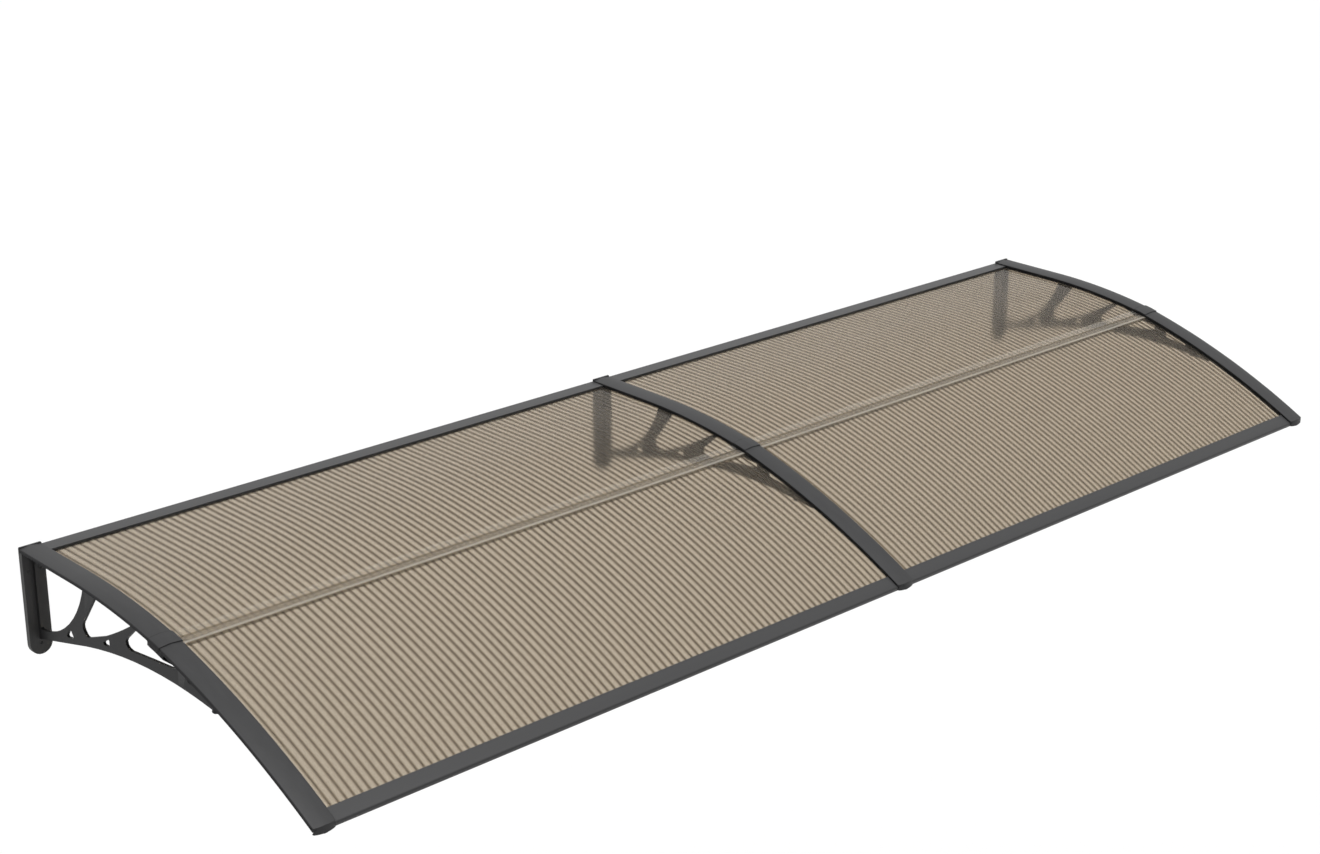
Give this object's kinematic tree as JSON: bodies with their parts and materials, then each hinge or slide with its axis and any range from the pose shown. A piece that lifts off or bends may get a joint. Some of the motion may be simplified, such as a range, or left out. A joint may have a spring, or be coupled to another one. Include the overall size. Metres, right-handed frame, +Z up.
{
  "type": "door canopy",
  "caption": "Wall-mounted canopy: bent twin-wall sheets between moulded arms with tracery brackets, seam strips, and bars at the wall and front edges.",
  "frame": {"origin": "middle of the middle bracket's wall face", "axes": "+X along the wall, to the right of someone who faces it; +Y into the wall; +Z up. The canopy reaches out to -Y"},
  "size_m": [3.0024, 0.9555, 0.2339],
  "materials": {
    "moulded_plastic": "matt dark grey moulding",
    "coated_bar": "dark grey powder coat, satin",
    "tinted_sheet": "bronze tint, translucent, light ribs showing through",
    "pale_strip": "bronze tint, smooth",
    "screw_steel": "bare stainless steel"
  },
  "bodies": {
    "root": {"bracket_left": "moulded_plastic", "front_arm_left": "moulded_plastic", "rear_cover_left": "moulded_plastic", "front_cover_left": "moulded_plastic", "bracket_middle": "moulded_plastic", "front_arm_middle": "moulded_plastic", "rear_cover_middle": "moulded_plastic", "front_cover_middle": "moulded_plastic", "bracket_right": "moulded_plastic", "front_arm_right": "moulded_plastic", "rear_cover_right": "moulded_plastic", "front_cover_right": "moulded_plastic", "rear_sheet_left": "tinted_sheet", "front_sheet_left": "tinted_sheet", "seam_strip_left": "pale_strip", "wall_bar_left": "coated_bar", "front_bar_left": "coated_bar", "rear_sheet_right": "tinted_sheet", "front_sheet_right": "tinted_sheet", "seam_strip_right": "pale_strip", "wall_bar_right": "coated_bar", "front_bar_right": "coated_bar", "screw_left_1": "screw_steel", "screw_left_2": "screw_steel", "screw_left_3": "screw_steel", "screw_left_4": "screw_steel", "screw_left_5": "screw_steel", "screw_left_6": "screw_steel", "screw_left_7": "screw_steel", "screw_middle_1": "screw_steel", "screw_middle_2": "screw_steel", "screw_middle_3": "screw_steel", "screw_middle_4": "screw_steel", "screw_middle_5": "screw_steel", "screw_middle_6": "screw_steel", "screw_middle_7": "screw_steel", "screw_right_1": "screw_steel", "screw_right_2": "screw_steel", "screw_right_3": "screw_steel", "screw_right_4": "screw_steel", "screw_right_5": "screw_steel", "screw_right_6": "screw_steel", "screw_right_7": "screw_steel"}
  },
  "joints": []
}
